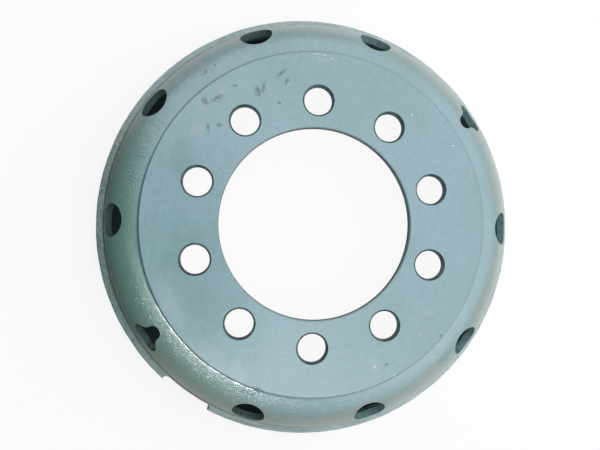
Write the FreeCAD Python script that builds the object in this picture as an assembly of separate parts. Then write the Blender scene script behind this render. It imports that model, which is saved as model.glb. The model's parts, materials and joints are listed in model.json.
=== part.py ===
"""Disc of a steel truck wheel: one pressed and spun plate that bolts to the hub and carries the rim.

Millimetres. +Z is the wheel's axis and points out of the flat mounting face.
The origin is on the axis, level with the flange edge that the disc rests on.
The ring of hand holes has its even places at multiples of their spacing from +X.
Bolt holes lie midway between those places.
"""
import FreeCAD, Part
import math
import os

from FreeCAD import Vector

# Overall sizes
disc_depth = 108.0  # from the flange edge to the mounting face
flange_diameter = 525.0  # the land that the rim is pressed on to

# Flat mounting plate
plate_thickness = 11.0
bore_diameter = 222.0
bore_chamfer = 1.5
step_height = 2.0  # the machined flat stands this far above the shoulder
step_run = 2.0  # width of the slope at the edge of the flat

# Shoulder and wall, rolled thinner than the plate
shoulder_width = 51.5  # from the edge of the flat to the neck, measured across
shoulder_fall = 17.0  # degrees below level where the shoulder starts
shoulder_bend = 60.0
inner_bend = 50.0
wall_steepness = 76.0  # degrees below level
wall_thickness = 8.0

# Neck and flange
neck_drop = 62.0  # from the mounting face to the neck
neck_bend = 5.0
flare_width = 12.5  # from the neck to the land, measured across
flare_fall = 41.0  # degrees below level
flange_thickness = 8.0
flange_bend = 10.0
edge_chamfer = 1.5

# Bolt holes with a ball seat on each side
bolt_count = 10
bolt_circle = 285.75
bolt_hole_diameter = 33.0
seat_margin = 5.5  # the ball's radius less the hole's radius
seat_depth = 2.6

# Hand holes, punched square to the shoulder
hand_hole_count = 10
round_hole_diameter = 39.0
round_hole_elevation = 39.5  # degrees above level, seen from the centre of the shoulder's bend
round_hole_offset = 0.45  # degrees past its even place in the ring
lobed_hole_places = (1, 6)  # two opposite hand holes have lobes
lobed_hole_elevation = 44.5
lobed_hole_offset = -0.5
lobe_count = 3
lobed_hole_diameter = 41.0  # circle round the lobes
lobe_diameter = 17.0
lobed_hole_waist = 24.0  # circle inside the coves between the lobes

# Notch in the flange, for the tyre valve
notch_bearing = 235.3  # degrees from +X
notch_width = 68.0
notch_corner = 6.0
notch_drop = 2.5  # from the neck down to the top of the notch

# How far a cutter runs past the plate, and how near two points are one
cutter_reach = 20.0
touching = 1e-6


def slope(degrees_below_level):
    """Unit direction, outwards and down, in the profile plane."""
    angle = math.radians(degrees_below_level)
    return Vector(math.cos(angle), 0, -math.sin(angle))


def meet(point, direction, other_point, other_direction):
    """Where two lines of the profile plane cross."""
    gap = other_point - point
    turn = direction.x * other_direction.z - direction.z * other_direction.x
    along = (gap.x * other_direction.z - gap.z * other_direction.x) / turn
    return point + direction * along


def inside(point, direction, thickness):
    """A point of the line that lies a wall's thickness under the given one."""
    return point + Vector(direction.z, 0, -direction.x) * thickness


def corner_arcs(corners):
    """Start, middle, end and centre of the arc at each (point, radius) corner; None at a sharp corner.

    Where two arcs ask for more than the side between them, both get their share of it.
    """
    points = [point for point, radius in corners]
    sides = [points[(index + 1) % len(points)] - point for index, point in enumerate(points)]
    half_angles = [(-sides[index - 1]).getAngle(side) / 2 for index, side in enumerate(sides)]
    asked = [radius / math.tan(half) for (point, radius), half in zip(corners, half_angles)]
    shares = []
    for index, wish in enumerate(asked):
        wish_of_both = max(asked[index - 1] + wish, touching)
        shares.append(min(1.0, sides[index - 1].Length / wish_of_both))
    arcs = []
    for index, point in enumerate(points):
        setback = asked[index] * min(shares[index], shares[(index + 1) % len(shares)])
        if not setback:
            arcs.append(None)
            continue
        backwards = (-sides[index - 1]).normalize()
        forwards = Vector(sides[index]).normalize()
        bisector = (backwards + forwards).normalize()
        radius = setback * math.tan(half_angles[index])
        centre = point + bisector * (radius / math.sin(half_angles[index]))
        start = point + backwards * setback
        end = point + forwards * setback
        arcs.append((start, centre - bisector * radius, end, centre))
    return arcs


def rounded_outline(corners):
    """Closed wire through (point, radius) corners; a radius of 0 leaves the corner sharp."""
    stations = []
    for (point, radius), arc in zip(corners, corner_arcs(corners)):
        stations.append(arc or (point, None, point, None))
    edges = []
    for index, (start, middle, end, centre) in enumerate(stations):
        if middle:
            edges.append(Part.Arc(start, middle, end).toShape())
        following = stations[(index + 1) % len(stations)][0]
        if not following.isEqual(end, touching):
            edges.append(Part.LineSegment(end, following).toShape())
    return Part.Wire(edges)


def polar(distance, degrees):
    """A point of the XY plane."""
    angle = math.radians(degrees)
    return Vector(distance * math.cos(angle), distance * math.sin(angle), 0)


def between(point, target, distance):
    """The point at a distance from one point on the way to another."""
    way = target - point
    way.normalize()
    return point + way * distance


def turned(shape, degrees):
    """The shape turned about the wheel's axis."""
    copy = shape.copy()
    copy.rotate(Vector(0, 0, 0), Vector(0, 0, 1), degrees)
    return copy


# Outer corners of the profile, from the bore to the flange edge
bore_radius = bore_diameter / 2
flange_radius = flange_diameter / 2
neck_radius = flange_radius - flare_width
flat_radius = neck_radius - shoulder_width
step_foot = Vector(flat_radius + step_run, 0, disc_depth - step_height)
neck = Vector(neck_radius, 0, disc_depth - neck_drop)
shoulder_line = slope(shoulder_fall)
wall_line = slope(wall_steepness)
flare_line = slope(flare_fall)
down = slope(90)
outwards = slope(0)
shoulder = meet(step_foot, shoulder_line, neck, wall_line)
land_top = meet(neck, flare_line, Vector(flange_radius, 0, 0), down)

# Inner corners, one wall thickness under the outer ones
back_height = disc_depth - plate_thickness
wall_inside = inside(neck, wall_line, wall_thickness)
flare_inside = inside(neck, flare_line, wall_thickness)
land_inside_radius = flange_radius - flange_thickness
inner_shoulder = meet(Vector(0, 0, back_height), outwards, wall_inside, wall_line)
inner_neck = meet(wall_inside, wall_line, flare_inside, flare_line)
inner_land_top = meet(flare_inside, flare_line, Vector(land_inside_radius, 0, 0), down)

profile = [
    (Vector(bore_radius, 0, disc_depth - bore_chamfer), 0),
    (Vector(bore_radius + bore_chamfer, 0, disc_depth), 0),
    (Vector(flat_radius, 0, disc_depth), 0),
    (step_foot, 0),
    (shoulder, shoulder_bend),
    (neck, neck_bend),
    (land_top, flange_bend),
    (Vector(flange_radius, 0, edge_chamfer), 0),
    (Vector(flange_radius - edge_chamfer, 0, 0), 0),
    (Vector(land_inside_radius + edge_chamfer, 0, 0), 0),
    (Vector(land_inside_radius, 0, edge_chamfer), 0),
    (inner_land_top, max(flange_bend - flange_thickness, edge_chamfer)),
    (inner_neck, neck_bend + wall_thickness),
    (inner_shoulder, inner_bend),
    (Vector(bore_radius + bore_chamfer, 0, back_height), 0),
    (Vector(bore_radius, 0, back_height + bore_chamfer), 0),
]
plate = Part.Face(rounded_outline(profile))
disc = plate.revolve(Vector(0, 0, 0), Vector(0, 0, 1), 360)


def bolt_hole():
    """Cutter for one bolt hole on +X: a plain hole and a ball seat on each side of the plate."""
    hole_radius = bolt_hole_diameter / 2
    ball_radius = hole_radius + seat_margin
    ball_rise = math.sqrt(ball_radius ** 2 - hole_radius ** 2) - seat_depth
    place = Vector(bolt_circle / 2, 0, 0)
    foot = place + Vector(0, 0, back_height - cutter_reach)
    hole = Part.makeCylinder(hole_radius, plate_thickness + 2 * cutter_reach, foot)
    front_seat = Part.makeSphere(ball_radius, place + Vector(0, 0, disc_depth + ball_rise))
    back_seat = Part.makeSphere(ball_radius, place + Vector(0, 0, back_height - ball_rise))
    return hole.fuse([front_seat, back_seat])


def round_outline():
    """Outline of a round hand hole, in the XY plane about the origin."""
    return Part.Wire(Part.makeCircle(round_hole_diameter / 2))


def lobed_outline():
    """Outline of a lobed hand hole, in the XY plane: lobes joined by tangent coves."""
    lobe_radius = lobe_diameter / 2
    lobe_distance = lobed_hole_diameter / 2 - lobe_radius
    waist = lobed_hole_waist / 2
    lobe_step = 360 / lobe_count
    half_step = lobe_step / 2
    # A cove touches two lobes and the waist circle, and that fixes its radius
    lobe_reach = lobe_distance * math.cos(math.radians(half_step))
    spare = lobe_distance ** 2 + waist ** 2 - 2 * lobe_reach * waist - lobe_radius ** 2
    cove_radius = spare / (2 * (lobe_reach + lobe_radius - waist))
    edges = []
    for lobe in range(lobe_count):
        # The first lobe points to the hub
        lobe_turn = 180 + lobe_step * lobe
        lobe_centre = polar(lobe_distance, lobe_turn)
        cove_centre = polar(waist + cove_radius, lobe_turn + half_step)
        last_cove_centre = polar(waist + cove_radius, lobe_turn - half_step)
        next_lobe_centre = polar(lobe_distance, lobe_turn + lobe_step)
        start = between(lobe_centre, last_cove_centre, lobe_radius)
        tip = polar(lobe_distance + lobe_radius, lobe_turn)
        end = between(lobe_centre, cove_centre, lobe_radius)
        low = polar(waist, lobe_turn + half_step)
        next_start = between(next_lobe_centre, cove_centre, lobe_radius)
        edges.append(Part.Arc(start, tip, end).toShape())
        edges.append(Part.Arc(end, low, next_start).toShape())
    return Part.Wire(edges)


def hand_hole(outline, elevation):
    """Cutter for one hand hole on +X, square to the shoulder: it starts at the centre of the bend."""
    start, middle, end, bend_centre = corner_arcs(profile)[profile.index((shoulder, shoulder_bend))]
    reach = (start - bend_centre).Length + cutter_reach
    cutter = Part.Face(outline).extrude(Vector(0, 0, reach))
    # Turned from +Z to the punch direction, so that the outline's -X side faces the hub and the flat
    cutter.rotate(Vector(0, 0, 0), Vector(0, 1, 0), 90 - elevation)
    cutter.translate(bend_centre)
    return cutter


def valve_notch():
    """Cutter for the notch on +X: open at the flange edge, with round corners under the neck."""
    half_width = notch_width / 2
    top = neck.z - notch_drop
    inner_face = inner_shoulder.x - cutter_reach
    depth = flange_radius + cutter_reach - inner_face
    corners = [
        (Vector(inner_face, -half_width, -cutter_reach), 0),
        (Vector(inner_face, half_width, -cutter_reach), 0),
        (Vector(inner_face, half_width, top), notch_corner),
        (Vector(inner_face, -half_width, top), notch_corner),
    ]
    return Part.Face(rounded_outline(corners)).extrude(Vector(depth, 0, 0))


bolt_spacing = 360 / bolt_count
first_bolt_bearing = bolt_spacing / 2
hand_hole_spacing = 360 / hand_hole_count
bolt_cutter = bolt_hole()
round_cutter = hand_hole(round_outline(), round_hole_elevation)
lobed_cutter = hand_hole(lobed_outline(), lobed_hole_elevation)

cutters = [turned(bolt_cutter, first_bolt_bearing + bolt_spacing * place) for place in range(bolt_count)]
for place in range(hand_hole_count):
    even_bearing = hand_hole_spacing * place
    if place in lobed_hole_places:
        cutters.append(turned(lobed_cutter, even_bearing + lobed_hole_offset))
    else:
        cutters.append(turned(round_cutter, even_bearing + round_hole_offset))
cutters.append(turned(valve_notch(), notch_bearing))
wheel_disc = disc.cut(cutters)

os.makedirs("parts", exist_ok=True)
wheel_disc.Solids[0].exportStep("parts/wheel_disc.step")
print("wheel_disc", wheel_disc.isValid(), len(wheel_disc.Solids), round(wheel_disc.Volume), "mm3")
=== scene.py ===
"""Disc of a truck wheel: one spun steel plate in worn grey-green enamel, shown on a pale floor.

Metres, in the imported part's own frame: +Z is the wheel's axis, and the disc rests on its flange edge.
"""
import json
import math

import bmesh
import bpy
from mathutils import Euler, Matrix, Vector, geometry, noise


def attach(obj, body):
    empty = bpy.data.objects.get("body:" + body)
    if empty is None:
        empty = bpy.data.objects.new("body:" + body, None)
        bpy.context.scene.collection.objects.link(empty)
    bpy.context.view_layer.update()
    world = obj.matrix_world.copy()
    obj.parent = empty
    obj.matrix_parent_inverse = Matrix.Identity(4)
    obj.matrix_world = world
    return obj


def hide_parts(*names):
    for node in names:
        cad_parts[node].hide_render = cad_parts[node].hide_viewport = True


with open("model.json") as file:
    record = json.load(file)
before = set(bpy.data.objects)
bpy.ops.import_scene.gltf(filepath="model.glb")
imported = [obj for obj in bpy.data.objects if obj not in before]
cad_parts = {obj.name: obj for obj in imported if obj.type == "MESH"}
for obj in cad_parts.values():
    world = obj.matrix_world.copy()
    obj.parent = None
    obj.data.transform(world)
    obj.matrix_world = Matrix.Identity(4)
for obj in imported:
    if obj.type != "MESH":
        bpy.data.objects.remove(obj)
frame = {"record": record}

bl_info = {
    "name": "Truck Wheel Disc",
    "version": (1, 0, 0),
    "blender": (4, 5, 0),
    "location": "View3D > Sidebar > Wheel Disc",
    "description": "Builds a spun steel wheel disc in worn enamel, and a pale stage to show it on",
    "category": "Add Mesh",
}

MM = 0.001
UP = Vector((0, 0, 1))
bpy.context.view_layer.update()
MOUNTS = {mount["name"]: mount for mount in frame["record"]["mounts"]}
BORE = MOUNTS["centre_bore"]["dims"]
BOLTS = MOUNTS["wheel_bolts"]["dims"]
RIM_LAND = MOUNTS["rim_land"]["dims"]
FACE_HEIGHT = MOUNTS["front_face"]["pos_m"][2] / MM
BACK_HEIGHT = MOUNTS["back_face"]["pos_m"][2] / MM

# Where the lobed hand holes stand in the ring of hand holes, counted from +X
LOBED_PLACES = (1, 6)

# Where the painted shade of the holes stands among the disc's materials
HOLE_SHADE = 1

# Mesh: vertices closer than these are one, and steps round the disc, a bolt hole and a hand hole
FINE_MERGE = 1e-7
MERGE = 1e-6
DISC_STEPS = 480
BOLT_HOLE_STEPS = 72
HAND_HOLE_STEPS = 96

# Unevenness of the rolled steel: width and height of its slow waves, coarse skin and dents, and its seed
WAVE_WIDTH = 38 * MM
WAVE_HEIGHT = 0.25 * MM
SKIN_WIDTH = 7 * MM
SKIN_HEIGHT = 0.30 * MM
DENT_WIDTH = 16 * MM
DENT_DEPTH = 0.30 * MM
WAVE_SEED = 1

# Bearings in degrees from +X
SHADED_SIDE = 205
DUSTY_SIDE = -20
BRIGHT_FLOOR_SIDE = 18

# How strongly each kind of dirt or mark, and each painted shade, reflection, sheen or glint, covers the
# enamel
COVER = {
    "painted_shade_green": 0.9,
    "dust_and_reflection": 0.5,
    "painted_shade_patch": 0.6,
    "painted_sheen": 0.45,
    "rub": 0.5,
    "scuff": 0.95,
    "chip_and_glint": 1.0,
}

# Marks: x, y and drop below the face of each middle, length and width in millimetres, and turn in degrees
SCUFFS = [
    (-129.8, 135.5, 0.0, 6.0, 8.5, 10),
    (-116.0, 139.5, 0.0, 12.0, 5.0, 30),
    (-96.8, 154.7, 0.0, 5.0, 2.6, 0),
    (-70.4, 149.5, 0.0, 6.0, 9.0, 20),
    (-64.2, 154.0, 0.0, 3.5, 11.0, -15),
    (-44.6, 172.0, 0.0, 13.0, 3.4, 40),
    (-37.7, 163.7, 0.0, 3.5, 6.5, -20),
    (-45.5, 137.5, 0.0, 3.5, 2.8, 0),
    (-125.5, 105.5, 0.0, 2.6, 8.0, 5),
    (-113.0, 108.6, 0.0, 4.5, 4.0, 0),
    (-120.3, 180.2, 8.3, 4.0, 2.6, 0),
    (-130.8, 170.5, 7.3, 7.0, 2.8, 35),
    (87.4, -160.7, 0.0, 3.4, 2.8, 0),
    (151.8, -126.9, 0.0, 4.0, 3.0, 0),
    (-61.6, -189.5, 0.0, 10.0, 5.5, -15),
    (-70.5, -193.0, 3.5, 12.0, 4.0, -20),
]
RUBS = [
    (-137.0, 101.0, 0.0, 13.0, 19.0, 20),
    (-131.0, 131.0, 0.0, 10.0, 13.0, 30),
    (-110.0, 149.0, 0.0, 8.0, 12.0, -40),
    (135.1, -99.4, 0.0, 13.0, 9.0, 0),
    (127.1, -124.5, 0.0, 8.0, 6.0, 45),
    (73.8, -164.7, 0.0, 12.0, 11.0, 10),
    (2.0, 190.0, 0.0, 15.0, 7.0, 0),
    (183.9, 69.0, 0.0, 4.0, 16.0, 8),
]
CHIPS = [
    (-3.5, 197.0, 0.0, 7.0, 1.2, 0),
    (6.5, 195.8, 0.0, 8.0, 1.8, -6),
    (14.1, 192.7, 0.0, 2.5, 2.2, 0),
    (110.8, 130.7, 0.0, 2.6, 1.6, 60),
    (161.3, 97.4, 0.0, 2.4, 2.4, 0),
    (73.5, -163.0, 0.0, 2.2, 2.8, 0),
    (97.0, -172.0, 0.0, 2.6, 1.6, 30),
]
# Painted shade: darker, greener patches on the face where its reflection is dim
PAINTED_SHADE_PATCHES = [
    (-129.0, -92.0, 0.0, 40.0, 85.0, 15),
    (-149.0, -38.0, 0.0, 45.0, 60.0, -10),
    (-150.0, 60.0, 0.0, 30.0, 50.0, 20),
]
# Painted sheens: paler patches standing in for reflected light beside the step and on the upper left wall
PAINTED_SHEENS = [
    (-163.0, -94.0, 0.0, 62.0, 22.0, -60),
    (-105.0, -160.0, 0.0, 70.0, 26.0, -35),
    (-162.0, 161.5, 17.0, 20.0, 6.0, 45),
]

# How far a mark reaches above and below its middle, in millimetres
MARK_DEPTH = 9.0

# Patches of the sky: direction of the middle, and half-angles in degrees where one starts and is full
CAMERA_STAND = ((-0.13, -0.03, 1.0), 15, 5)
HIGH_WINDOW = ((0.03, -0.34, 0.95), 20, 6)
RIGHT_WINDOW = ((0.60, -0.45, 0.66), 30, 8)
LOW_SIDE = ((-0.30, -1.0, 0.15), 50, 15)
FLAG = ((-1.0, -0.14, 0.32), 47, 24)

# Lamps and camera: places and widths in metres, and the camera's turn in degrees
KEY_PLACE = (1.75, 0.55, 1.0)
KEY_WIDTH = 1.4
TOP_PLACE = (0.30, 0.05, 1.9)
TOP_WIDTH = 2.2
STRIP_PLACE = (-0.65, -0.83, 0.95)
STRIP_LENGTH = 1.6
STRIP_WIDTH = 0.02
CAMERA_PLACE = (-0.08938, -0.01955, 0.79198)
CAMERA_TURN = (1.313, -6.005, 1.561)


def length(name, description, millimetres):
    """A length property whose default is given in millimetres."""
    return bpy.props.FloatProperty(
        name=name, description=description, default=millimetres * MM, min=0.0, precision=5, unit="LENGTH")


def angle(name, description, degrees):
    """An angle property whose default is given in degrees."""
    return bpy.props.FloatProperty(
        name=name, description=description, default=math.radians(degrees), subtype="ANGLE")


def count(name, description, number):
    """A whole-number property."""
    return bpy.props.IntProperty(name=name, description=description, default=number, min=1)


def share(name, description, part):
    """A property from 0 to 1."""
    return bpy.props.FloatProperty(
        name=name, description=description, default=part, min=0.0, max=1.0, subtype="FACTOR")


def colour(name, description, red, green, blue):
    """A colour property, in linear light."""
    return bpy.props.FloatVectorProperty(
        name=name, description=description, default=(red, green, blue), size=3, min=0.0, max=1.0,
        subtype="COLOR")


def power(name, description, watts):
    """A lamp's power."""
    return bpy.props.FloatProperty(
        name=name, description=description, default=watts, min=0.0, unit="POWER")


def times(name, description, factor):
    """How many times as bright one thing is as another."""
    return bpy.props.FloatProperty(name=name, description=description, default=factor, min=0.0)


class WheelDiscSizes(bpy.types.PropertyGroup):
    """Sizes of the plate and its holes."""
    face_height: length("Face height", "From the flange edge to the mounting face", FACE_HEIGHT)
    plate_thickness: length("Plate", "Thickness of the mounting plate", FACE_HEIGHT - BACK_HEIGHT)
    bore_radius: length("Bore", "Radius of the centre bore", BORE["r_mm"])
    flange_radius: length("Flange", "Radius of the land that the rim fits", RIM_LAND["r_mm"])
    bore_chamfer: length("Bore chamfer", "Chamfer on both edges of the bore", 1.5)
    step_height: length("Step height", "How far the machined flat stands above the shoulder", 2.0)
    step_run: length("Step run", "Width of the slope at the edge of the flat", 2.0)
    shoulder_width: length("Shoulder width", "From the edge of the flat to the neck", 51.5)
    shoulder_fall: angle("Shoulder fall", "Slope below level where the shoulder starts", 17.0)
    shoulder_bend: length("Shoulder bend", "Outer radius of the shoulder's bend", 60.0)
    inner_bend: length("Inner bend", "Inner radius of the shoulder's bend", 50.0)
    wall_steepness: angle("Wall steepness", "Slope of the wall below level", 76.0)
    wall_thickness: length("Wall", "Thickness of the wall", 8.0)
    neck_drop: length("Neck drop", "From the mounting face to the neck", 62.0)
    neck_bend: length("Neck bend", "Radius of the neck", 5.0)
    flare_width: length("Flare width", "From the neck to the land", 12.5)
    flare_fall: angle("Flare fall", "Slope of the flare below level", 41.0)
    flange_thickness: length("Flange thickness", "Thickness of the flange", 8.0)
    flange_bend: length("Flange bend", "Radius where the flare meets the land", 10.0)
    edge_chamfer: length("Edge chamfer", "Chamfer on the flange edge", 1.5)
    edge_softness: length("Edge softness", "Radius of the paint over the sharp edges", 0.5)
    bolt_count: count("Bolt holes", "Number of bolt holes", BOLTS["count"])
    bolt_circle: length("Bolt circle", "Radius of the circle of bolt holes", BOLTS["pcd_mm"] / 2)
    bolt_hole: length("Bolt hole", "Radius of a bolt hole", BOLTS["hole_r_mm"])
    seat_ball: length("Seat ball", "Radius of the ball seats", 22.0)
    seat_depth: length("Seat depth", "Depth of a ball seat", 2.6)
    hand_hole_count: count("Hand holes", "Number of hand holes", 10)
    round_hole: length("Round hole", "Radius of a round hand hole", 19.5)
    round_rise: angle("Round hole rise", "Punch direction of a round hole above level", 39.5)
    round_offset: angle("Round hole offset", "How far a round hole is past its even place in the ring", 0.45)
    lobed_reach: length("Lobed hole", "Radius of the circle round the three lobes", 20.5)
    lobe: length("Lobe", "Radius of a lobe", 8.5)
    lobed_waist: length("Lobed waist", "Radius of the circle inside the coves", 12.0)
    lobed_rise: angle("Lobed hole rise", "Punch direction of a lobed hole above level", 44.5)
    lobed_offset: angle("Lobed hole offset", "How far a lobed hole is past its even place in the ring", -0.5)
    notch_bearing: angle("Notch bearing", "Where the valve notch is, from +X", 235.3)
    notch_width: length("Notch width", "Width of the valve notch", 68.0)
    notch_corner: length("Notch corner", "Radius of the notch's inner corners", 6.0)
    notch_drop: length("Notch drop", "From the neck down to the top of the notch", 2.5)


class WheelDiscPaint(bpy.types.PropertyGroup):
    """Colours and wear of the paint, with the colours of its painted shade, sheens and glints."""
    enamel: colour("Enamel", "The enamel's own colour", 0.196, 0.369, 0.438)
    green_cast: colour("Green cast", "Enamel where the coat is thin", 0.166, 0.342, 0.378)
    # Painted shade: darker, greener enamel on the rolled steel of the shaded left side
    painted_shade_green: colour("Shade green", "Greener enamel on the left, outside the flat", 0.165, 0.330, 0.292)
    # Painted shade: hole walls darker than the enamel, in the hand holes darker on the left and lighter on
    # the right
    painted_hole_shade: colour("Hole paint", "Thin dark paint in the bore and the bolt holes", 0.055, 0.090, 0.086)
    shaded_hand_hole_tone: colour("Deep paint", "Thin paint in the hand holes on the left", 0.065, 0.115, 0.108)
    lit_hand_hole_tone: colour("Full paint", "Fuller paint in the hand holes on the right", 0.150, 0.265, 0.275)
    # Tan dust, and also a painted reflection of the tan ground on the low wall
    dust_and_reflection: colour("Dust", "Tan dust on the steep wall", 0.390, 0.400, 0.340)
    # Dirt in the pinholes, and also painted shade in the neck, at the foot of the step and in the flange's
    # grooves
    grime_and_shade: colour("Grime", "Dirt in the neck and at the step", 0.075, 0.098, 0.100)
    scuff: colour("Scuff", "Dark scuffs on the face", 0.030, 0.110, 0.160)
    # Painted shade: darker, greener patches on the face
    painted_shade_patch: colour("Smear", "Broad greener smears on the face", 0.115, 0.275, 0.270)
    # Painted sheen: paler patches standing in for reflected light
    painted_sheen: colour("Sheen", "Broad paler patches beside the step", 0.330, 0.480, 0.540)
    rub: colour("Rub", "Places where the paint is rubbed dull", 0.380, 0.400, 0.450)
    # Bright chips, and also painted glints on the far left of the flange
    chip_and_glint: colour("Chip", "Bright chips in the paint", 0.660, 0.720, 0.740)
    # Pale worn paint, and also the painted highlight on the ridges of the flange's lines
    chalk_and_highlight: colour("Chalk", "Pale worn paint on the flange", 0.470, 0.640, 0.680)
    primer: colour("Primer", "Mauve-grey primer that shows on the flange", 0.330, 0.325, 0.345)
    roughness: share("Roughness", "Roughness of clean enamel", 0.34)
    coat: share("Gloss coat", "Weight of the clear gloss over the enamel", 1.0)


class WheelDiscStage(bpy.types.PropertyGroup):
    """Floor, lamps and camera."""
    floor_width: length("Floor width", "Width of the floor", 12000.0)
    floor: colour("Floor", "The floor's own colour, in the light that it throws back", 0.60, 0.58, 0.53)
    floor_gloss: colour("Floor in gloss", "The right of the floor, as gloss shows it", 0.80, 0.78, 0.74)
    floor_dim: colour("Dim floor in gloss", "The left of the floor, as gloss shows it", 0.25, 0.24, 0.21)
    white: colour("White", "The floor and the backdrop as the eye sees them", 1.0, 1.0, 1.0)
    shade: colour("Shade", "The floor under the wall of the dish", 0.07, 0.09, 0.095)
    floor_glow: share("Floor glow", "How much of the floor's white is free of shadow inside the dish", 0.92)
    outer_glow: share("Outer glow", "How much of the floor's white is free of shadow round the disc", 0.80)
    sky: share("Sky", "Strength of the even light from all round", 0.60)
    horizon: colour("Horizon", "The sky low down, as the paint's gloss shows it", 0.50, 0.37, 0.25)
    flag: colour("Flag", "Dark green flag on the left", 0.020, 0.045, 0.032)
    overhead: share("Overhead", "How much light is left straight above, behind the camera's stand", 0.55)
    low_side: share("Low side", "How much light is left low down beyond the lower edge", 0.6)
    window: times("Windows", "How bright the two windows are, beside the sky", 1.45)
    key: power("Key", "Softbox on the right", 9.0)
    top: power("Top", "Wide softbox above", 14.0)
    strip: power("Strip", "Long thin softbox on the lower left, seen only in the gloss", 2.2)
    lens: length("Lens", "Focal length", 36.0)
    sensor: length("Sensor", "Width of the camera's sensor", 36.0)


def slope(fall):
    """Direction outwards and down in the profile plane."""
    return Vector((math.cos(fall), 0, -math.sin(fall)))


def meet(point, direction, other, other_direction):
    """Where two lines of the profile plane cross."""
    return geometry.intersect_line_line(point, point + direction, other, other + other_direction)[0]


def under(point, direction, thickness):
    """A point of the line that lies a wall's thickness under the given one."""
    return point + Vector((direction.z, 0, -direction.x)) * thickness


def neck_radius(s):
    """Radius of the neck, where the wall meets the flare."""
    return s.flange_radius - s.flare_width


def neck_height(s):
    """Height of the neck above the flange edge."""
    return s.face_height - s.neck_drop


def flat_edge_radius(s):
    """Radius of the machined flat's outer edge."""
    return neck_radius(s) - s.shoulder_width


def disc_profile(s):
    """Corners of the plate's section as (name, point, radius), from the bore out, down and back."""
    level, down = slope(0), slope(math.pi / 2)
    shoulder_line = slope(s.shoulder_fall)
    wall_line = slope(s.wall_steepness)
    flare_line = slope(s.flare_fall)
    flat_radius = flat_edge_radius(s)
    neck = Vector((neck_radius(s), 0, neck_height(s)))
    step_foot = Vector((flat_radius + s.step_run, 0, s.face_height - s.step_height))
    land = Vector((s.flange_radius, 0, 0))
    back_height = s.face_height - s.plate_thickness
    wall_inside = under(neck, wall_line, s.wall_thickness)
    flare_inside = under(neck, flare_line, s.wall_thickness)
    land_inside = Vector((s.flange_radius - s.flange_thickness, 0, 0))
    inner_neck_bend = s.neck_bend + s.wall_thickness
    inner_flange_bend = max(s.flange_bend - s.flange_thickness, s.edge_chamfer)
    bore_out = s.bore_radius + s.bore_chamfer
    soft = s.edge_softness
    return [
        ("bore_front", Vector((s.bore_radius, 0, s.face_height - s.bore_chamfer)), soft),
        ("bore_edge", Vector((bore_out, 0, s.face_height)), soft),
        ("flat_edge", Vector((flat_radius, 0, s.face_height)), soft),
        ("step_foot", step_foot, soft),
        ("shoulder", meet(step_foot, shoulder_line, neck, wall_line), s.shoulder_bend),
        ("neck", neck, s.neck_bend),
        ("land_top", meet(neck, flare_line, land, down), s.flange_bend),
        ("land_foot", land + UP * s.edge_chamfer, soft),
        ("edge_out", land - level * s.edge_chamfer, soft),
        ("edge_in", land_inside + level * s.edge_chamfer, soft),
        ("land_inside_foot", land_inside + UP * s.edge_chamfer, soft),
        ("land_inside_top", meet(flare_inside, flare_line, land_inside, down), inner_flange_bend),
        ("neck_inside", meet(wall_inside, wall_line, flare_inside, flare_line), inner_neck_bend),
        ("shoulder_inside", meet(UP * back_height, level, wall_inside, wall_line), s.inner_bend),
        ("bore_back_edge", Vector((bore_out, 0, back_height)), soft),
        ("bore_back", Vector((s.bore_radius, 0, back_height + s.bore_chamfer)), soft),
    ]


def corner_arc(before, corner, after, radius):
    """Start, centre, axis and turn of the arc that rounds a corner."""
    back = (before - corner).normalized()
    ahead = (after - corner).normalized()
    half = back.angle(ahead) / 2
    start = corner + back * (radius / math.tan(half))
    centre = corner + (back + ahead).normalized() * (radius / math.sin(half))
    axis = ahead.cross(back).normalized()
    return start, centre, axis, math.pi - 2 * half


def swing(bm, vert, centre, axis, turn, steps):
    """Draws an arc of edges from a vertex and returns the last vertex."""
    made = bmesh.ops.spin(bm, geom=[vert], cent=centre, axis=axis, angle=turn, steps=steps)
    return next(item for item in made["geom_last"] if isinstance(item, bmesh.types.BMVert))


def arc_steps(radius, turn):
    """How many edges an arc needs to look round."""
    return max(3, round(turn * math.sqrt(radius / MM) * 3))


def rounded_wire(bm, corners):
    """Draws a closed section: an arc at each (name, point, radius) corner, with straight edges between."""
    points = [point for name, point, radius in corners]
    first = last = None
    straights = []
    for index, (name, point, radius) in enumerate(corners):
        following = points[(index + 1) % len(points)]
        start, centre, axis, turn = corner_arc(points[index - 1], point, following, radius)
        vert = bm.verts.new(start)
        if last:
            straights.append(bm.edges.new((last, vert)))
        first = first or vert
        last = swing(bm, vert, centre, axis, turn, arc_steps(radius, turn))
    straights.append(bm.edges.new((last, first)))
    return straights


def spin_round(bm, steps, middle=Vector()):
    """Turns the section that a bmesh holds into a closed body round an upright axis."""
    bmesh.ops.spin(bm, geom=bm.verts[:] + bm.edges[:], cent=middle, axis=UP, angle=math.tau, steps=steps,
                   use_merge=True)
    bmesh.ops.remove_doubles(bm, verts=bm.verts, dist=FINE_MERGE)
    bmesh.ops.recalc_face_normals(bm, faces=bm.faces)


def mesh_from(bm, name):
    """Ends a bmesh and keeps its shape as a mesh."""
    mesh = bpy.data.meshes.new(name)
    bm.to_mesh(mesh)
    bm.free()
    return mesh


def blank_plate(s):
    """The spun plate before any hole is cut."""
    bm = bmesh.new()
    row_width = 12 * MM
    for edge in rounded_wire(bm, disc_profile(s)):
        cuts = int(edge.calc_length() / row_width)
        if cuts:
            bmesh.ops.subdivide_edges(bm, edges=[edge], cuts=cuts)
    spin_round(bm, DISC_STEPS)
    return mesh_from(bm, "plate")


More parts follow.
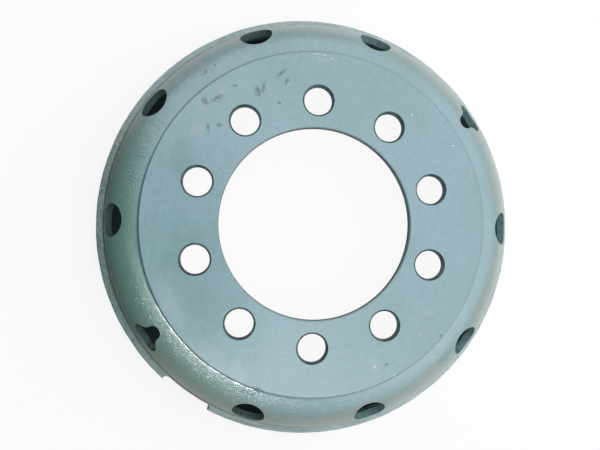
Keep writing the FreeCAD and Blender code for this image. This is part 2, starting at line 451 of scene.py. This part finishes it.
def bolt_cutter(s):
    """Cutter for one bolt hole on +X: a plain hole with a ball seat on each side and a soft mouth."""
    rise = math.sqrt(s.seat_ball ** 2 - s.bolt_hole ** 2) - s.seat_depth
    middle = Vector((s.bolt_circle, 0, 0))
    soft = s.edge_softness
    bm = bmesh.new()
    last = None
    for side, face in ((1, s.face_height), (-1, s.face_height - s.plate_thickness)):
        ball = middle + UP * (face + side * rise)
        mouth_fall = math.asin((rise + soft) / s.seat_ball)
        hole_fall = math.acos(s.bolt_hole / s.seat_ball)
        mouth_radius = s.seat_ball * math.cos(mouth_fall)
        pole = bm.verts.new(ball)
        rim = bm.verts.new(ball + Vector((mouth_radius + rise + soft, 0, 0)))
        mouth = bm.verts.new(middle + UP * (face - side * soft) + Vector((mouth_radius, 0, 0)))
        foot = swing(bm, mouth, ball, (0, side, 0), hole_fall - mouth_fall, steps=6)
        bm.edges.new((pole, rim))
        bm.edges.new((rim, mouth))
        if last:
            bm.edges.new((last, foot))
        last = foot
    spin_round(bm, BOLT_HOLE_STEPS, middle)
    return mesh_from(bm, "bolt_cutter")


def polar(distance, bearing):
    """A point of the XY plane."""
    return Matrix.Rotation(bearing, 3, "Z") @ Vector((distance, 0, 0))


def draw_round_hole(bm, s):
    """Outline of a round hand hole, about the origin."""
    bmesh.ops.create_circle(bm, segments=HAND_HOLE_STEPS, radius=s.round_hole)


def draw_lobed_hole(bm, s):
    """Outline of a hand hole of three lobes joined by tangent coves, with one lobe on -X."""
    lobes = 3
    step = math.tau / lobes
    lobe_distance = s.lobed_reach - s.lobe
    lobe_reach = lobe_distance * math.cos(step / 2)
    spare = lobe_distance ** 2 + s.lobed_waist ** 2 - 2 * lobe_reach * s.lobed_waist - s.lobe ** 2
    cove = spare / (2 * (lobe_reach + s.lobe - s.lobed_waist))
    for index in range(lobes):
        bearing = math.pi + index * step
        lobe_centre = polar(lobe_distance, bearing)
        cove_centre = polar(s.lobed_waist + cove, bearing + step / 2)
        last_cove_centre = polar(s.lobed_waist + cove, bearing - step / 2)
        to_cove = cove_centre - lobe_centre
        to_last_cove = last_cove_centre - lobe_centre
        lobe_turn = 2 * to_cove.angle(lobe_centre)
        cove_turn = 2 * (-to_cove).angle(-cove_centre)
        start = bm.verts.new(lobe_centre + to_last_cove.normalized() * s.lobe)
        middle = swing(bm, start, lobe_centre, UP, lobe_turn, steps=HAND_HOLE_STEPS // 4)
        swing(bm, middle, cove_centre, -UP, cove_turn, steps=HAND_HOLE_STEPS // 8)
    bmesh.ops.remove_doubles(bm, verts=bm.verts, dist=MERGE)


def hand_hole_cutter(s, draw, rise):
    """Cutter for one hand hole on +X, from the centre of the shoulder's bend square out through it."""
    corners = disc_profile(s)
    index = next(i for i, (name, point, radius) in enumerate(corners) if name == "shoulder")
    around = [corners[index + offset][1] for offset in (-1, 0, 1)]
    bend_centre = corner_arc(*around, s.shoulder_bend)[1]
    reach = s.shoulder_bend + s.round_hole
    bm = bmesh.new()
    draw(bm, s)
    made = bmesh.ops.edgeloop_fill(bm, edges=bm.edges)
    made = bmesh.ops.extrude_face_region(bm, geom=made["faces"])
    pushed = [item for item in made["geom"] if isinstance(item, bmesh.types.BMVert)]
    bmesh.ops.translate(bm, verts=pushed, vec=UP * reach)
    bmesh.ops.rotate(bm, verts=bm.verts, cent=(0, 0, 0),
                     matrix=Matrix.Rotation(math.pi / 2 - rise, 3, "Y"))
    bmesh.ops.translate(bm, verts=bm.verts, vec=bend_centre)
    bmesh.ops.recalc_face_normals(bm, faces=bm.faces)
    return mesh_from(bm, "hand_hole_cutter")


def notch_cutter(s):
    """Cutter for the valve notch on +X: open at the flange edge, with round corners under the neck."""
    spare = 20 * MM
    top = neck_height(s) - s.notch_drop
    inner_face = s.flange_radius - s.flange_thickness - 2 * spare
    depth = s.flange_radius + spare - inner_face
    height = top + spare
    bm = bmesh.new()
    bmesh.ops.create_cube(bm, size=1)
    bmesh.ops.scale(bm, verts=bm.verts, vec=(depth, s.notch_width, height))
    bmesh.ops.translate(bm, verts=bm.verts, vec=(inner_face + depth / 2, 0, top - height / 2))
    top_edges = [edge for edge in bm.edges
                 if all(vert.co.z > 0 for vert in edge.verts)
                 and abs(edge.verts[0].co.y - edge.verts[1].co.y) < spare]
    bmesh.ops.bevel(bm, geom=top_edges, offset=s.notch_corner, affect="EDGES", segments=10, profile=0.5,
                    material=-1)
    return mesh_from(bm, "notch_cutter")


def repeat_round(bm, mesh, bearings):
    """Adds copies of a mesh, turned about the wheel's axis."""
    for bearing in bearings:
        first = len(bm.verts)
        bm.from_mesh(mesh)
        bm.verts.ensure_lookup_table()
        bmesh.ops.rotate(bm, verts=bm.verts[first:], cent=(0, 0, 0), matrix=Matrix.Rotation(bearing, 3, "Z"))


def all_cutters(s):
    """Every hole and the notch as one mesh, marked with the painted shade of the holes."""
    bolt_step = math.tau / s.bolt_count
    hand_step = math.tau / s.hand_hole_count
    round_places = [place for place in range(s.hand_hole_count) if place not in LOBED_PLACES]
    bm = bmesh.new()
    repeat_round(bm, bolt_cutter(s), [(place + 0.5) * bolt_step for place in range(s.bolt_count)])
    repeat_round(bm, hand_hole_cutter(s, draw_round_hole, s.round_rise),
                 [place * hand_step + s.round_offset for place in round_places])
    repeat_round(bm, hand_hole_cutter(s, draw_lobed_hole, s.lobed_rise),
                 [place * hand_step + s.lobed_offset for place in LOBED_PLACES])
    repeat_round(bm, notch_cutter(s), [s.notch_bearing])
    for face in bm.faces:
        face.material_index = HOLE_SHADE
    return mesh_from(bm, "cutters")


def place_in_scene(name, data):
    """A new object at the origin that holds a mesh, a lamp or a camera."""
    made = bpy.data.objects.new(name, data)
    bpy.context.scene.collection.objects.link(made)
    return made


def cut(blank, cutters):
    """Cuts the holes out of the blank and keeps the result as its mesh."""
    modifier = blank.modifiers.new("holes", "BOOLEAN")
    modifier.operation = "DIFFERENCE"
    modifier.solver = "EXACT"
    modifier.object = cutters
    modifier.material_mode = "INDEX"
    whole = blank.evaluated_get(bpy.context.evaluated_depsgraph_get())
    mesh = bpy.data.meshes.new_from_object(whole)
    old_mesh = blank.data
    blank.modifiers.clear()
    blank.data = mesh
    bpy.data.meshes.remove(old_mesh)
    bpy.data.objects.remove(cutters)


def smoothstep(low, high, value):
    """0 below low, 1 above high, and a soft rise between."""
    part = min(max((value - low) / (high - low), 0.0), 1.0)
    return part * part * (3 - 2 * part)


def roughen(bm, s):
    """Gives the rolled steel its unevenness: slow waves on the shoulder, and a coarse skin on the flange."""
    flat_radius = flat_edge_radius(s)
    neck = neck_height(s)
    noise.seed_set(WAVE_SEED)
    for vert in bm.verts:
        radius = vert.co.xy.length
        rolled = smoothstep(flat_radius + s.step_run, flat_radius + 4 * s.step_run, radius)
        flange = smoothstep(neck + 2 * MM, neck - 4 * MM, vert.co.z) * rolled
        lifted = smoothstep(0.0, 4 * MM, vert.co.z)
        waves = noise.noise_vector(vert.co / WAVE_WIDTH) * WAVE_HEIGHT
        skin = noise.noise_vector(vert.co / SKIN_WIDTH) * SKIN_HEIGHT
        inward = -abs(noise.noise(vert.co / DENT_WIDTH)) * DENT_DEPTH * flange
        outwards = Vector((vert.co.x, vert.co.y, 0)).normalized()
        vert.co += (waves * rolled + skin * flange + outwards * inward) * lifted


def mark_bore_wall(bm, s):
    """Gives the bore's upright wall the painted shade of the holes."""
    for face in bm.faces:
        if face.calc_center_median().xy.length < s.bore_radius + s.bore_chamfer / 4:
            face.material_index = HOLE_SHADE


def finish_edges(bm):
    """Shades the disc smooth, with crisp edges where two faces meet at a clear angle."""
    crisp = math.radians(35)
    for face in bm.faces:
        face.smooth = True
    for edge in bm.edges:
        edge.smooth = not edge.is_manifold or edge.calc_face_angle() < crisp


def add_node(tree, kind, inputs=None, **settings):
    """Adds a shader node: settings are its own options, and inputs take a value or another node's output."""
    made = tree.nodes.new(kind)
    for name, value in settings.items():
        setattr(made, name, value)
    for key, value in (inputs or {}).items():
        if isinstance(value, bpy.types.NodeSocket):
            tree.links.new(value, made.inputs[key])
        else:
            made.inputs[key].default_value = value
    return made


def math_of(tree, operation, first, second=0.0):
    """One step of arithmetic on two values."""
    return add_node(tree, "ShaderNodeMath", {0: first, 1: second}, operation=operation).outputs[0]


def ramp(tree, value, low, high, to_low=0.0, to_high=1.0):
    """A soft rise between two values."""
    inputs = {"Value": value, "From Min": low, "From Max": high, "To Min": to_low, "To Max": to_high}
    return add_node(tree, "ShaderNodeMapRange", inputs, interpolation_type="SMOOTHSTEP").outputs["Result"]


def mottle(tree, place, size, detail=2.0, roughness=0.5):
    """A noise pattern whose spots are about the given size."""
    inputs = {"Vector": place, "Scale": 1 / size, "Detail": detail, "Roughness": roughness}
    return add_node(tree, "ShaderNodeTexNoise", inputs).outputs["Fac"]


def blend(tree, factor, first, second, how="MIX"):
    """Mixes two colours."""
    inputs = {0: factor, 6: rgba(first), 7: rgba(second)}
    return add_node(tree, "ShaderNodeMix", inputs, data_type="RGBA", blend_type=how).outputs[2]


def rgba(value):
    """A colour property as four numbers; an output of another node is left as it is."""
    return value if isinstance(value, bpy.types.NodeSocket) else (*value, 1.0)


def product(tree, *values):
    """Several values multiplied together."""
    result = values[0]
    for value in values[1:]:
        result = math_of(tree, "MULTIPLY", result, value)
    return result


def largest(tree, *values):
    """The largest of several values."""
    result = values[0]
    for value in values[1:]:
        result = math_of(tree, "MAXIMUM", result, value)
    return result


def inverse(tree, mask):
    """1 where a mask is 0, and 0 where it is 1."""
    return math_of(tree, "SUBTRACT", 1.0, mask)


def shaded(tree, tone, factor):
    """A colour made lighter or darker by a factor."""
    grey = add_node(tree, "ShaderNodeCombineColor", {0: factor, 1: factor, 2: factor}).outputs[0]
    return blend(tree, 1.0, tone, grey, "MULTIPLY")


def stretched(tree, place, scale):
    """Coordinates multiplied by a scale for each axis."""
    return add_node(tree, "ShaderNodeVectorMath", {0: place, 1: scale}, operation="MULTIPLY").outputs[0]


def coordinate(tree, vector, axis):
    """One coordinate of a point or direction."""
    return add_node(tree, "ShaderNodeSeparateXYZ", {"Vector": vector}).outputs[axis]


def length_of(tree, vector):
    """How long a vector is."""
    return add_node(tree, "ShaderNodeVectorMath", {0: vector}, operation="LENGTH").outputs["Value"]


def extent_along(tree, vector, direction):
    """How far a vector reaches along a direction."""
    made = add_node(tree, "ShaderNodeVectorMath", {0: vector, 1: direction}, operation="DOT_PRODUCT")
    return made.outputs["Value"]


def distance_from_axis(tree, place):
    """How far a point of the surface is from the wheel's axis."""
    return length_of(tree, stretched(tree, place, (1, 1, 0)))


def reach_towards(tree, place, bearing):
    """How far a point lies from the axis along a level bearing, given in degrees from +X."""
    return extent_along(tree, place, polar(1.0, math.radians(bearing)))


def ring(tree, radius, height, at_radius, at_height, width):
    """1 on a circle round the axis, falling to 0 over a width."""
    across = math_of(tree, "SUBTRACT", radius, at_radius)
    along = math_of(tree, "SUBTRACT", height, at_height)
    square = math_of(tree, "ADD", math_of(tree, "POWER", across, 2), math_of(tree, "POWER", along, 2))
    return ramp(tree, math_of(tree, "SQRT", square), width, 0.0)


def spots(tree, place, marks, height, ragged, swollen=1.0, core=0.45):
    """1 inside any of the marks, 0 outside, and a ragged edge between; core is the part that is full."""
    edge = 1.8 - core
    insides = []
    for x, y, drop, long, wide, turn in marks:
        middle = (x * MM, y * MM, height - drop * MM)
        reach = (long * swollen * MM / 2, wide * swollen * MM / 2, MARK_DEPTH * MM)
        inputs = {"Vector": place, "Location": middle, "Rotation": (0, 0, math.radians(turn)), "Scale": reach}
        local = add_node(tree, "ShaderNodeMapping", inputs, vector_type="TEXTURE").outputs["Vector"]
        away = math_of(tree, "ADD", length_of(tree, local), ragged)
        insides.append(ramp(tree, away, edge, core))
    return largest(tree, *insides)


def laid_over(tree, tone, mask, paint, kind):
    """A colour with one kind of the paint's dirt or marks laid over it."""
    return blend(tree, product(tree, mask, COVER[kind]), tone, getattr(paint, kind))


def bare_tree(owner):
    """The emptied node tree of a new material or world."""
    owner.use_nodes = True
    owner.node_tree.nodes.clear()
    return owner.node_tree


def painted(material, constants):
    """Starts a material's nodes: returns its tree, its surface coordinates and its painted shader."""
    tree = bare_tree(material)
    place = add_node(tree, "ShaderNodeTexCoord").outputs["Object"]
    shader = add_node(tree, "ShaderNodeBsdfPrincipled", constants)
    add_node(tree, "ShaderNodeOutputMaterial", {"Surface": shader.outputs["BSDF"]})
    return tree, place, shader


class DiscZones:
    """Masks of the disc's places, with the height and radius that they are worked out from.

    rolled is the steel outside the flat, low_wall its lower part, down to the neck, and flange what lies
    under the neck. wall_foot is every height below the bend. left is the side in the shade, far_left the edge
    of the disc there, and dusty the side where the dust and its painted reflection are fullest.
    """

    def __init__(self, tree, place, s):
        flat_radius = flat_edge_radius(s)
        neck = neck_height(s)
        reach = s.flange_radius
        self.height = coordinate(tree, place, "Z")
        self.radius = distance_from_axis(tree, place)
        self.left = ramp(tree, reach_towards(tree, place, SHADED_SIDE), 0.35 * reach, 0.75 * reach)
        self.far_left = ramp(tree, coordinate(tree, place, "X"), -0.66 * reach, -0.93 * reach)
        self.dusty = ramp(tree, reach_towards(tree, place, DUSTY_SIDE), -0.5 * reach, 0.6 * reach)
        self.rolled = ramp(tree, self.radius, flat_radius + s.step_run, flat_radius + 4 * s.step_run)
        above_neck = ramp(tree, self.height, neck, neck + 3 * MM)
        low = ramp(tree, self.height, neck + 58 * MM, neck + 44 * MM)
        self.low_wall = product(tree, low, above_neck, self.rolled)
        self.wall_foot = ramp(tree, self.height, neck + 42 * MM, neck + 26 * MM)
        self.flange = product(tree, ramp(tree, self.height, neck, neck - 3 * MM), self.rolled)


def enamel_coat(tree, place, paint):
    """Clean enamel: broad clouds of a greener cast, fine mottling and pinholes."""
    clouds = ramp(tree, mottle(tree, place, 110 * MM, detail=3, roughness=0.6), 0.38, 0.66)
    tone = blend(tree, clouds, paint.enamel, paint.green_cast)
    tone = shaded(tree, tone, ramp(tree, mottle(tree, place, 5 * MM, 4, 0.65), 0.25, 0.75, 0.92, 1.08))
    pinholes = ramp(tree, mottle(tree, place, 3.2 * MM, detail=1), 0.70, 0.78, 0.0, 0.35)
    return blend(tree, pinholes, tone, paint.grime_and_shade)


def worn_flange(tree, place, tone, zones, lines, paint):
    """The flange's paint: chalky, with primer, with lines round it whose ridges are painted pale as highlight
    and whose grooves are painted dark as shade, and with pits and painted glints on the far left.
    """
    chalky = ramp(tree, mottle(tree, place, 9 * MM, detail=5, roughness=0.7), 0.30, 0.62, 0.15, 0.65)
    tone = blend(tree, product(tree, zones.flange, chalky), tone, paint.chalk_and_highlight)
    bare = ramp(tree, mottle(tree, place, 14 * MM, detail=4, roughness=0.65), 0.56, 0.68, 0.0, 0.30)
    tone = blend(tree, product(tree, zones.flange, bare), tone, paint.primer)
    # Painted highlight on the ridges of the lines, and painted shade in their grooves
    ridge_highlight = ramp(tree, lines, 0.52, 0.64, 0.0, 0.5)
    tone = blend(tree, product(tree, zones.flange, ridge_highlight), tone, paint.chalk_and_highlight)
    groove_shade = ramp(tree, lines, 0.42, 0.30, 0.0, 0.45)
    tone = blend(tree, product(tree, zones.flange, groove_shade), tone, paint.grime_and_shade)
    pitted = ramp(tree, mottle(tree, place, 4 * MM, detail=3, roughness=0.7), 0.52, 0.40, 0.0, 0.45)
    tone = blend(tree, product(tree, zones.flange, zones.far_left, pitted), tone, paint.grime_and_shade)
    # Painted glints: bright flecks on the far left of the flange
    painted_glints = ramp(tree, mottle(tree, place, 2.6 * MM, detail=1), 0.56, 0.64)
    return blend(tree, product(tree, zones.flange, zones.far_left, painted_glints, 0.6), tone, paint.chip_and_glint)


def painted_corner_shade(tree, tone, zones, s, paint):
    """Painted shade: a dark line in the neck and a thin one at the foot of the step, both stronger on the
    shaded left.
    """
    neck_width = 5.0 * MM
    neck = ring(tree, zones.radius, zones.height, neck_radius(s), neck_height(s), neck_width)
    neck_cover = ramp(tree, zones.left, 0.0, 1.0, 0.7, 0.9)
    tone = blend(tree, product(tree, neck, neck_cover), tone, paint.grime_and_shade)
    foot_radius = flat_edge_radius(s) + s.step_run
    foot_height = s.face_height - s.step_height
    foot_width = 2.0 * MM
    foot = ring(tree, zones.radius, zones.height, foot_radius, foot_height, foot_width)
    foot_cover = ramp(tree, zones.left, 0.0, 1.0, 0.4, 0.85)
    return blend(tree, product(tree, foot, foot_cover), tone, paint.grime_and_shade)


def worn_enamel(paint, s):
    """Grey-green enamel over rolled steel, with painted shade on the left, in the corners and in patches on
    the face, dust on the wall that is partly painted reflection, painted sheens and glints, scuffs and chips.
    """
    material = bpy.data.materials.new("worn_enamel")
    gloss = {"Coat Weight": paint.coat, "Coat Roughness": 0.03, "Coat IOR": 2.2, "IOR": 1.5}
    tree, place, shader = painted(material, gloss)
    zones = DiscZones(tree, place, s)
    lines = mottle(tree, stretched(tree, place, (0.06, 0.06, 1.0)), 2 * MM, detail=2, roughness=0.6)
    tone = enamel_coat(tree, place, paint)
    # Painted shade on the rolled steel of the left side
    tone = laid_over(tree, tone, product(tree, zones.rolled, zones.left), paint, "painted_shade_green")
    tone = worn_flange(tree, place, tone, zones, lines, paint)
    streaks = ramp(tree, mottle(tree, place, 24 * MM, detail=4, roughness=0.6), 0.28, 0.60)
    thin_to_full = ramp(tree, zones.dusty, 0.0, 1.0, 0.25, 1.0)
    tan_cover = largest(tree, thin_to_full, product(tree, zones.wall_foot, zones.left))
    # Dust on the low wall, also standing in as painted reflection of the tan ground
    dust_and_reflection = product(tree, zones.low_wall, streaks, tan_cover)
    tone = laid_over(tree, tone, dust_and_reflection, paint, "dust_and_reflection")
    # Painted shade in the neck and at the foot of the step
    tone = painted_corner_shade(tree, tone, zones, s, paint)

    # Handling marks, and patches of painted shade and painted sheen on the face
    cloudy = ramp(tree, mottle(tree, place, 18 * MM, detail=4, roughness=0.6), 0.3, 0.7, -0.5, 0.6)
    shade_patches = spots(tree, place, PAINTED_SHADE_PATCHES, s.face_height, cloudy, core=0.0)
    painted_sheens = spots(tree, place, PAINTED_SHEENS, s.face_height, cloudy, core=0.2)
    ragged = ramp(tree, mottle(tree, place, 2.4 * MM, detail=3), 0.3, 0.7, -0.5, 0.7)
    rubs = spots(tree, place, RUBS, s.face_height, ragged)
    scuffs = spots(tree, place, SCUFFS, s.face_height, ragged, swollen=1.3)
    chips = spots(tree, place, CHIPS, s.face_height, ragged)
    marks = {"painted_shade_patch": shade_patches, "painted_sheen": painted_sheens, "rub": rubs, "scuff": scuffs, "chip_and_glint": chips}
    for kind, mask in marks.items():
        tone = laid_over(tree, tone, mask, paint, kind)
    tree.links.new(tone, shader.inputs["Base Color"])

    # Gloss: duller on the dust and its painted reflection, the flange and the marks
    dull = largest(tree, dust_and_reflection, zones.flange, rubs, scuffs)
    spread, duller_by = 0.06, 0.22
    smoothest, roughest = paint.roughness - spread, paint.roughness + spread
    patchy = ramp(tree, mottle(tree, place, 30 * MM, detail=3), 0.3, 0.7, smoothest, roughest)
    tree.links.new(math_of(tree, "ADD", patchy, product(tree, dull, duller_by)), shader.inputs["Roughness"])

    # Orange peel: strongest on the left, little of it on the machined flat, and with lines round the flange
    peel = mottle(tree, place, 1.9 * MM, detail=1)
    swell = mottle(tree, place, 11 * MM, detail=2)
    relief = math_of(tree, "ADD", peel, product(tree, swell, 0.8))
    relief = math_of(tree, "ADD", relief, product(tree, lines, zones.flange))
    left_gain = 1.7
    for socket, rolled_relief, flat_relief in (("Normal", 0.16, 0.05), ("Coat Normal", 0.52, 0.06)):
        by_side = ramp(tree, zones.left, 0.0, 1.0, rolled_relief, left_gain * rolled_relief)
        strength = math_of(tree, "ADD", product(tree, zones.rolled, by_side), flat_relief)
        inputs = {"Height": relief, "Strength": strength, "Distance": 0.8 * MM}
        bump = add_node(tree, "ShaderNodeBump", inputs)
        tree.links.new(bump.outputs["Normal"], shader.inputs[socket])
    return material


def painted_hole_shade(paint, s):
    """Painted shade on the walls of the holes: dark, with greener patches in the bore and the bolt holes, and
    in the hand holes darker on the left and lighter on the right.
    """
    material = bpy.data.materials.new("painted_hole_shade")
    tree, place, shader = painted(material, {"IOR": 1.45})
    shear = mottle(tree, stretched(tree, place, (1.0, 1.0, 0.25)), 4 * MM, detail=4, roughness=0.65)
    patches = ramp(tree, mottle(tree, place, 16 * MM, detail=2), 0.35, 0.7, 0.0, 0.35)
    flat_radius = flat_edge_radius(s)
    hand_holes = ramp(tree, distance_from_axis(tree, place), flat_radius, flat_radius + 4 * s.step_run)
    greened = product(tree, patches, inverse(tree, hand_holes))
    tone = blend(tree, greened, paint.painted_hole_shade, paint.green_cast)
    lit_side = ramp(tree, coordinate(tree, place, "X"), -s.bore_radius, s.bore_radius)
    # Painted shade and light: hand hole walls darker on the left, lighter on the right
    tone = blend(tree, hand_holes, tone, blend(tree, lit_side, paint.shaded_hand_hole_tone, paint.lit_hand_hole_tone))
    tree.links.new(shaded(tree, tone, ramp(tree, shear, 0.3, 0.7, 0.7, 1.3)), shader.inputs["Base Color"])
    tree.links.new(ramp(tree, shear, 0.3, 0.7, 0.45, 0.65), shader.inputs["Roughness"])
    bump = add_node(tree, "ShaderNodeBump", {"Height": shear, "Strength": 0.4, "Distance": 0.5 * MM})
    tree.links.new(bump.outputs["Normal"], shader.inputs["Normal"])
    return material


class WHEELDISC_OT_disc(bpy.types.Operator):
    """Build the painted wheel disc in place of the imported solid"""
    bl_idname = "wheel_disc.build_disc"
    bl_label = "Wheel Disc"

    def execute(self, context):
        s = context.scene.wheel_disc_sizes
        paint = context.scene.wheel_disc_paint
        disc = place_in_scene("painted_disc", blank_plate(s))
        cutters = place_in_scene("cutters", all_cutters(s))
        for material in (worn_enamel(paint, s), painted_hole_shade(paint, s)):
            disc.data.materials.append(material)
            cutters.data.materials.append(material)
        cut(disc, cutters)
        bm = bmesh.new()
        bm.from_mesh(disc.data)
        bmesh.ops.remove_doubles(bm, verts=bm.verts, dist=MERGE)
        bmesh.ops.dissolve_degenerate(bm, edges=bm.edges, dist=MERGE)
        mark_bore_wall(bm, s)
        roughen(bm, s)
        finish_edges(bm)
        bm.to_mesh(disc.data)
        bm.free()
        even = disc.modifiers.new("even_shading", "WEIGHTED_NORMAL")
        even.keep_sharp = True
        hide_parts("wheel_disc")
        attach(disc, "root")
        return {"FINISHED"}


def patch_of_sky(tree, direction, patch, strength):
    """1 outside a patch of the sky, and the given strength inside it."""
    towards, start, full = patch
    along = extent_along(tree, direction, Vector(towards).normalized())
    return ramp(tree, along, math.cos(math.radians(start)), math.cos(math.radians(full)), 1.0, strength)


def past_flag(tree, direction):
    """1 where light comes past the dark flag on the left, and 0 behind it."""
    return patch_of_sky(tree, direction, FLAG, 0.0)


def horizon_tone(tree, direction, stage):
    """The tan of the horizon, darker on the left."""
    return shaded(tree, stage.horizon, ramp(tree, coordinate(tree, direction, "X"), -0.7, 0.5, 0.4, 1.0))


def seen_plainly(tree, rays):
    """1 for what the camera sees, straight or through glass."""
    return math_of(tree, "MAXIMUM", rays["Is Camera Ray"], rays["Is Transmission Ray"])


def floor_material(stage, s):
    """A pale floor: white to the eye with a soft shadow, and painted dark as shade under the wall of the
    dish.

    In the paint's gloss it is bright on the right and dim on the left, and far out it has the horizon's tan.
    """
    material = bpy.data.materials.new("pale_floor")
    tree = bare_tree(material)
    place = add_node(tree, "ShaderNodeTexCoord").outputs["Object"]
    radius = distance_from_axis(tree, place)
    wall_inside = s.flange_radius - s.flange_thickness
    under_shoulder = ramp(tree, radius, 0.76 * wall_inside, 0.82 * wall_inside)
    under_wall = product(tree, under_shoulder, ramp(tree, radius, s.flange_radius, wall_inside))
    outwards = add_node(tree, "ShaderNodeVectorMath", {0: place}, operation="NORMALIZE").outputs["Vector"]
    lit = past_flag(tree, outwards)
    rays = add_node(tree, "ShaderNodeLightPath").outputs
    seen = seen_plainly(tree, rays)
    shown = math_of(tree, "MAXIMUM", seen, rays["Is Glossy Ray"])
    dim_until, bright_from = -0.45, 0.35
    bright_side = ramp(tree, reach_towards(tree, place, BRIGHT_FLOOR_SIDE), dim_until, bright_from)
    near_colour = blend(tree, bright_side, stage.floor_dim, stage.floor_gloss)
    tan_from, tan_beyond = 0.45, 0.95
    far_out = ramp(tree, radius, tan_from, tan_beyond)
    gloss_colour = blend(tree, far_out, near_colour, horizon_tone(tree, outwards, stage))
    glow_colour = blend(tree, seen, blend(tree, lit, stage.flag, gloss_colour), stage.white)
    glow = add_node(tree, "ShaderNodeEmission", {"Color": glow_colour})
    matt_colour = blend(tree, seen, blend(tree, lit, stage.flag, stage.floor), stage.white)
    # Painted shade: the floor is dark under the wall of the dish
    matt_colour = blend(tree, under_wall, matt_colour, stage.shade)
    matt = add_node(tree, "ShaderNodeBsdfDiffuse", {"Color": matt_colour})
    free_of_shadow = ramp(tree, radius, wall_inside, s.flange_radius, stage.floor_glow, stage.outer_glow)
    share_of_glow = product(tree, shown, inverse(tree, under_wall), free_of_shadow)
    inputs = {0: share_of_glow, 1: matt.outputs[0], 2: glow.outputs[0]}
    surface = add_node(tree, "ShaderNodeMixShader", inputs)
    add_node(tree, "ShaderNodeOutputMaterial", {"Surface": surface.outputs[0]})
    return material


def studio_sky(stage):
    """White behind the object, with two bright windows and the dark flag in the light on it.

    That light is weaker behind the camera's stand and low down, where the gloss also shows the horizon's tan.
    """
    world = bpy.data.worlds.new("studio_sky")
    tree = bare_tree(world)
    direction = add_node(tree, "ShaderNodeTexCoord").outputs["Generated"]
    rays = add_node(tree, "ShaderNodeLightPath").outputs
    seen = seen_plainly(tree, rays)
    glossy = rays["Is Glossy Ray"]
    light = product(tree, ramp(tree, glossy, 0.0, 1.0, stage.sky, 1.0),
                    patch_of_sky(tree, direction, CAMERA_STAND, stage.overhead),
                    patch_of_sky(tree, direction, HIGH_WINDOW, stage.window),
                    patch_of_sky(tree, direction, RIGHT_WINDOW, stage.window),
                    patch_of_sky(tree, direction, LOW_SIDE, stage.low_side))
    high = ramp(tree, coordinate(tree, direction, "Z"), 0.0, 0.25)
    clear = largest(tree, high, inverse(tree, glossy))
    open_sky = blend(tree, clear, horizon_tone(tree, direction, stage), stage.white)
    tone = shaded(tree, blend(tree, past_flag(tree, direction), stage.flag, open_sky), light)
    background = add_node(tree, "ShaderNodeBackground", {"Color": blend(tree, seen, tone, stage.white)})
    add_node(tree, "ShaderNodeOutputWorld", {"Surface": background.outputs[0]})
    return world


def softbox(name, place, aim, width, height, watts):
    """A rectangular area lamp that the camera doesn't see."""
    lamp = bpy.data.lights.new(name, "AREA")
    lamp.shape = "RECTANGLE"
    lamp.size = width
    lamp.size_y = height
    lamp.energy = watts
    made = place_in_scene(name, lamp)
    made.location = place
    made.rotation_euler = (Vector(aim) - Vector(place)).to_track_quat("-Z", "Y").to_euler()
    made.visible_camera = False
    return made


class WHEELDISC_OT_stage(bpy.types.Operator):
    """Build the pale floor, the lamps and the camera"""
    bl_idname = "wheel_disc.build_stage"
    bl_label = "Stage"

    def execute(self, context):
        stage = context.scene.wheel_disc_stage
        s = context.scene.wheel_disc_sizes
        bm = bmesh.new()
        bmesh.ops.create_grid(bm, x_segments=1, y_segments=1, size=stage.floor_width / 2)
        floor = place_in_scene("floor", mesh_from(bm, "floor"))
        floor.data.materials.append(floor_material(stage, s))
        context.scene.world = studio_sky(stage)
        middle = (0, 0, s.face_height)
        key = softbox("key_softbox", KEY_PLACE, middle, KEY_WIDTH, KEY_WIDTH, stage.key)
        top = softbox("top_softbox", TOP_PLACE, middle, TOP_WIDTH, TOP_WIDTH, stage.top)
        for lamp in (key, top):
            lamp.visible_glossy = False
        strip = softbox("strip_softbox", STRIP_PLACE, middle, STRIP_LENGTH, STRIP_WIDTH, stage.strip)
        strip.visible_diffuse = False
        lens = bpy.data.cameras.new("camera")
        lens.lens = stage.lens / MM
        lens.sensor_width = stage.sensor / MM
        lens.sensor_fit = "HORIZONTAL"
        camera = place_in_scene("camera", lens)
        camera.location = CAMERA_PLACE
        camera.rotation_euler = Euler([math.radians(turn) for turn in CAMERA_TURN], "XYZ")
        context.scene.camera = camera
        context.scene.view_settings.view_transform = "Standard"
        return {"FINISHED"}


class WHEELDISC_PT_sidebar(bpy.types.Panel):
    """Sizes, paint and stage of the wheel disc"""
    bl_idname = "WHEELDISC_PT_sidebar"
    bl_label = "Wheel Disc"
    bl_space_type = "VIEW_3D"
    bl_region_type = "UI"
    bl_category = "Wheel Disc"

    def draw(self, context):
        for operator in OPERATORS:
            self.layout.operator(operator.bl_idname)
        for group in SETTINGS:
            settings = getattr(context.scene, group)
            box = self.layout.box()
            for name in settings.__annotations__:
                box.prop(settings, name)


OPERATORS = (WHEELDISC_OT_disc, WHEELDISC_OT_stage)
SETTINGS = {
    "wheel_disc_sizes": WheelDiscSizes,
    "wheel_disc_paint": WheelDiscPaint,
    "wheel_disc_stage": WheelDiscStage,
}
CLASSES = (*SETTINGS.values(), *OPERATORS, WHEELDISC_PT_sidebar)


def register():
    """Makes the settings, the operators and the panel known."""
    for each in CLASSES:
        bpy.utils.register_class(each)
    for name, group in SETTINGS.items():
        setattr(bpy.types.Scene, name, bpy.props.PointerProperty(type=group))


def unregister():
    """Takes them away again."""
    for name in SETTINGS:
        delattr(bpy.types.Scene, name)
    for each in reversed(CLASSES):
        bpy.utils.unregister_class(each)


def main():
    """Builds the disc and its stage."""
    register()
    bpy.ops.wheel_disc.build_disc()
    bpy.ops.wheel_disc.build_stage()


if __name__ == "__main__":
    main()
